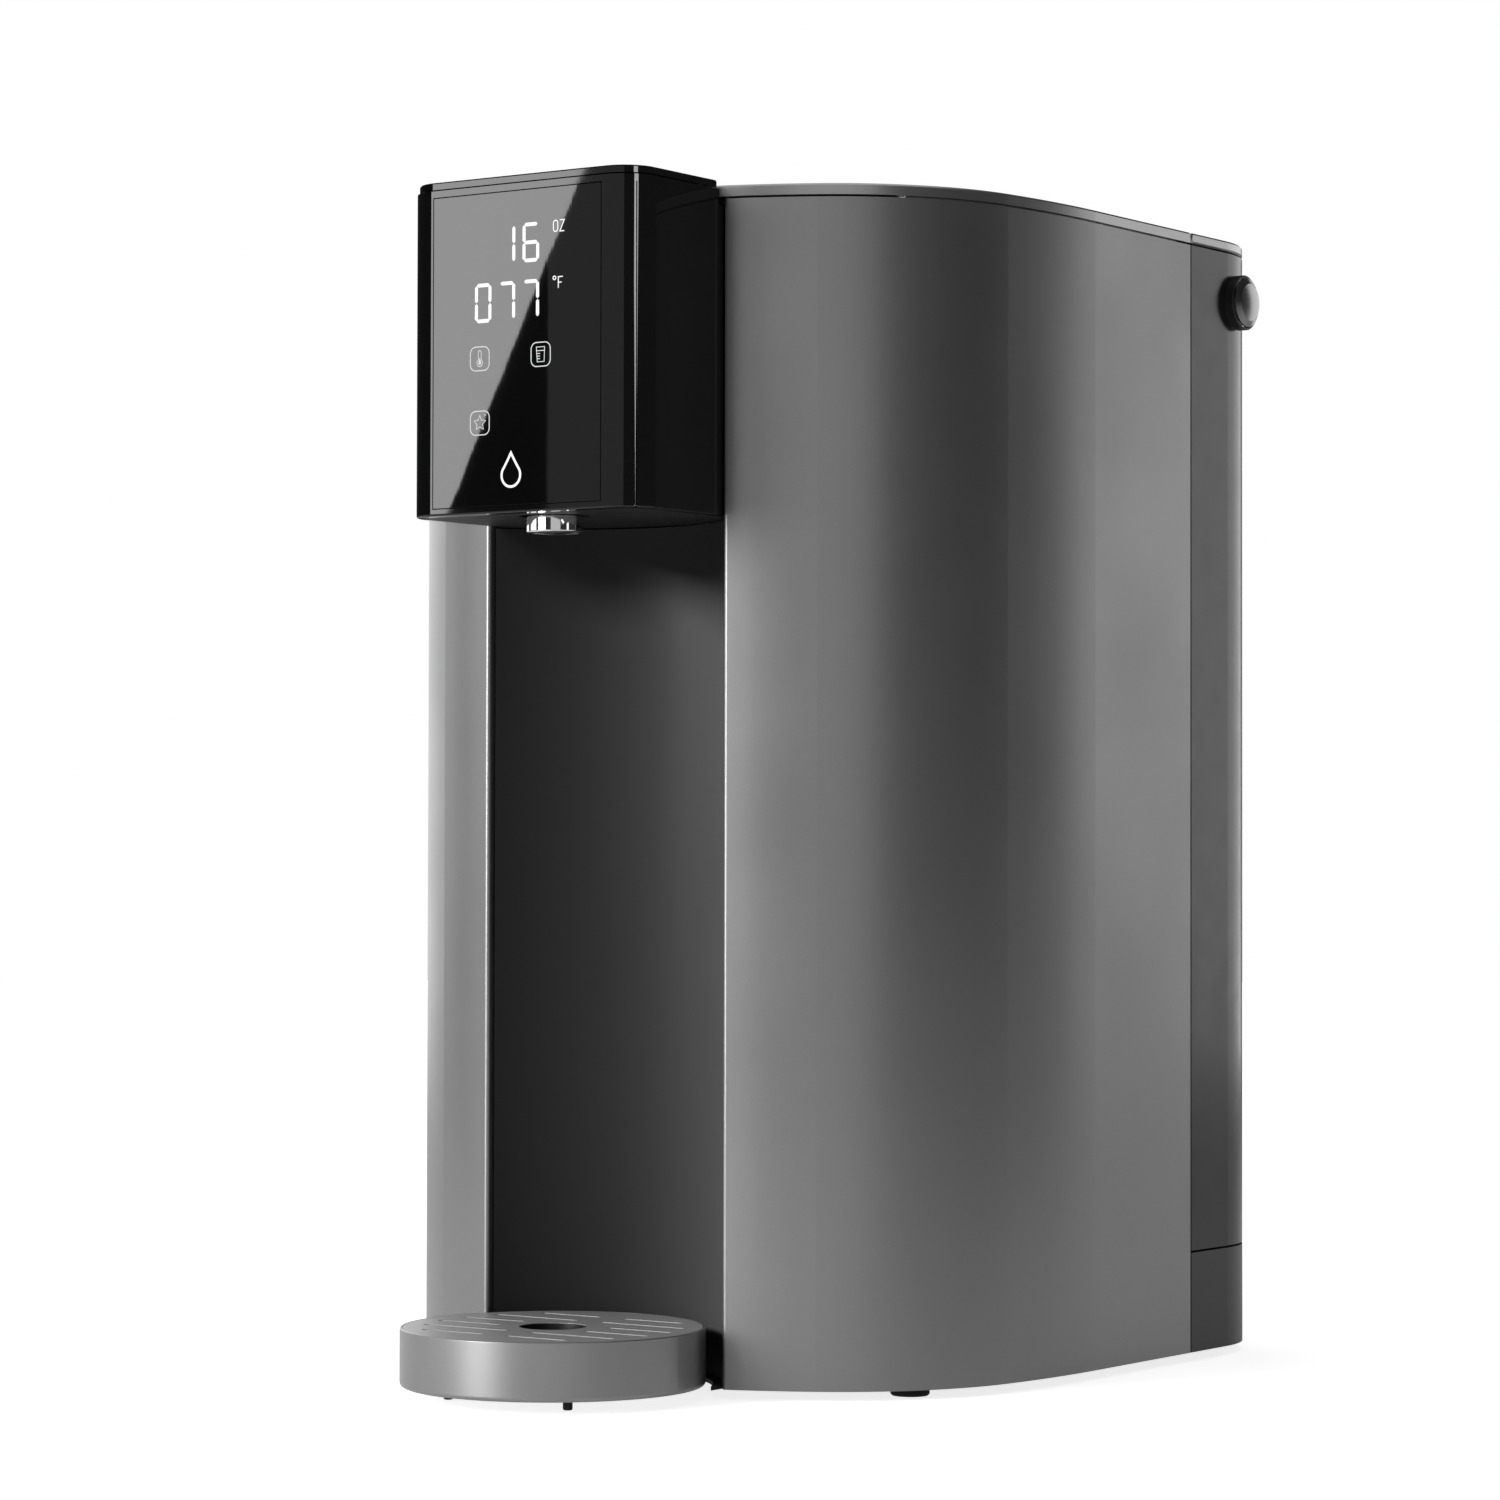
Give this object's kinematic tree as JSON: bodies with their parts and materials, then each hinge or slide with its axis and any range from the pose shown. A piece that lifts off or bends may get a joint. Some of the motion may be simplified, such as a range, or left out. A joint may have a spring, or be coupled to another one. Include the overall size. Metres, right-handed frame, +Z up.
{
  "type": "countertop water dispenser",
  "caption": "Countertop water dispenser: display head over a curved cup recess, pull-off rear tank with lid, lift-off top cover and slide-out drip tray.",
  "frame": {"origin": "on the counter, under the middle of the object's bounding box", "axes": "+Z up, front (display head and drip tray) towards -Y, +X to the right seen from the front of a viewer who looks along +Y"},
  "size_m": [0.273, 0.358, 0.43],
  "materials": {
    "body_grey": "satin metallic grey paint on moulded plastic",
    "lid_grey": "satin dark grey",
    "base_grey": "fine matt texture, dark grey",
    "recess_grey": "satin dark grey",
    "smoked_tank": "smoked, semi-gloss",
    "gloss_black": "piano black",
    "display_black": "clear-coated black window with lit figures",
    "black_plastic": "fine matt texture",
    "grey_plastic": "natural satin",
    "white_plastic": "satin",
    "chrome": "bright plated",
    "steel": "brushed",
    "brass": "machined",
    "circuit_green": "solder-mask green",
    "black_rubber": "matt",
    "clear_tube": "milky silicone"
  },
  "bodies": {
    "machine_body": {"base_pan": "base_grey", "rubber_feet": "black_rubber", "base_screws": "steel", "power_inlet_socket": "black_plastic", "inlet_pins": "brass", "right_side_panel": "body_grey", "left_side_panel": "body_grey", "recess_liner": "recess_grey", "head_shell": "gloss_black", "display_window": "display_black", "head_top_plate": "gloss_black", "head_underside_cover": "black_plastic", "outlet_nozzle": "chrome", "nozzle_aerator": "grey_plastic", "display_board": "circuit_green", "digit_display_module": "black_plastic", "touch_sensor_board": "circuit_green", "right_frame_plate": "steel", "left_frame_plate": "steel", "rear_bulkhead": "black_plastic", "tank_coupling_socket": "grey_plastic", "coupling_seal": "black_rubber", "filter_manifold": "grey_plastic", "pump_motor": "steel", "pump_head": "black_plastic", "pump_bracket": "steel", "pump_grommets": "black_rubber", "instant_heater": "steel", "heater_bracket": "steel", "thermal_cutoff": "black_plastic", "flow_meter_housing": "grey_plastic", "solenoid_valve": "brass", "power_supply_board": "circuit_green", "main_control_board": "circuit_green", "tank_feed_tube": "clear_tube", "pump_feed_tube": "clear_tube", "pump_outlet_tube": "clear_tube", "meter_feed_tube": "clear_tube", "heater_feed_tube": "clear_tube", "hot_water_tube": "clear_tube", "nozzle_tube": "clear_tube"},
    "top_cover": {"top_cover": "lid_grey"},
    "water_tank": {"tank_shell": "smoked_tank", "tank_outlet_valve": "grey_plastic", "valve_spring": "steel", "outlet_strainer": "grey_plastic", "tank_hinge_pins": "steel", "right_button_collar": "black_plastic", "left_button_collar": "black_plastic"},
    "tank_valve": {"valve_plunger": "white_plastic"},
    "tank_lid": {"tank_lid": "lid_grey", "tank_lid_seal": "black_rubber"},
    "right_button": {"right_release_button": "gloss_black"},
    "left_button": {"left_release_button": "gloss_black"},
    "prefilter": {"prefilter_cartridge": "white_plastic"},
    "membrane_filter": {"membrane_cartridge": "white_plastic"},
    "flow_turbine": {"flow_meter_turbine": "white_plastic"},
    "drip_tray": {"tray_cup": "body_grey", "tray_pegs": "black_rubber"},
    "drip_grid": {"drip_grid": "lid_grey"}
  },
  "joints": [
    {"name": "top_cover_lift", "type": "slide", "parent": "machine_body", "child": "top_cover", "axis": [0, 0, 1], "range_m": [0, 0.06]},
    {"name": "tank_pull", "type": "slide", "parent": "machine_body", "child": "water_tank", "axis": [0, 1, 0], "range_m": [0, 0.1]},
    {"name": "tank_valve_close", "type": "slide", "parent": "water_tank", "child": "tank_valve", "axis": [0, -1, 0], "range_m": [0, 0.003], "deforming": ["valve_spring"]},
    {"name": "tank_lid_hinge", "type": "hinge", "parent": "water_tank", "child": "tank_lid", "pos_m": [0, 0.1056, 0.4262], "axis": [1, 0, 0], "range_deg": [0, 85]},
    {"name": "right_button_press", "type": "slide", "parent": "water_tank", "child": "right_button", "axis": [-1, 0, 0], "range_m": [0, 0.003], "stiffness_N_per_m": 900},
    {"name": "left_button_press", "type": "slide", "parent": "water_tank", "child": "left_button", "axis": [1, 0, 0], "range_m": [0, 0.003], "stiffness_N_per_m": 900},
    {"name": "prefilter_twist", "type": "hinge", "parent": "machine_body", "child": "prefilter", "pos_m": [-0.06, 0.05, 0.1], "axis": [0, 0, 1], "range_deg": [0, 90]},
    {"name": "membrane_twist", "type": "hinge", "parent": "machine_body", "child": "membrane_filter", "pos_m": [0.06, 0.05, 0.1], "axis": [0, 0, 1], "range_deg": [0, 90]},
    {"name": "turbine_spin", "type": "hinge", "parent": "machine_body", "child": "flow_turbine", "pos_m": [0, -0.028, 0.118], "axis": [0, 1, 0], "continuous": true},
    {"name": "tray_pull", "type": "slide", "parent": "machine_body", "child": "drip_tray", "axis": [0, -1, 0], "range_m": [0, 0.07]},
    {"name": "grid_lift", "type": "slide", "parent": "drip_tray", "child": "drip_grid", "axis": [0, 0, 1], "range_m": [0, 0.03]}
  ],
  "couplings": [
    {"joint": "tank_valve_close", "follows": "tank_pull", "ratio": 0.03}
  ]
}
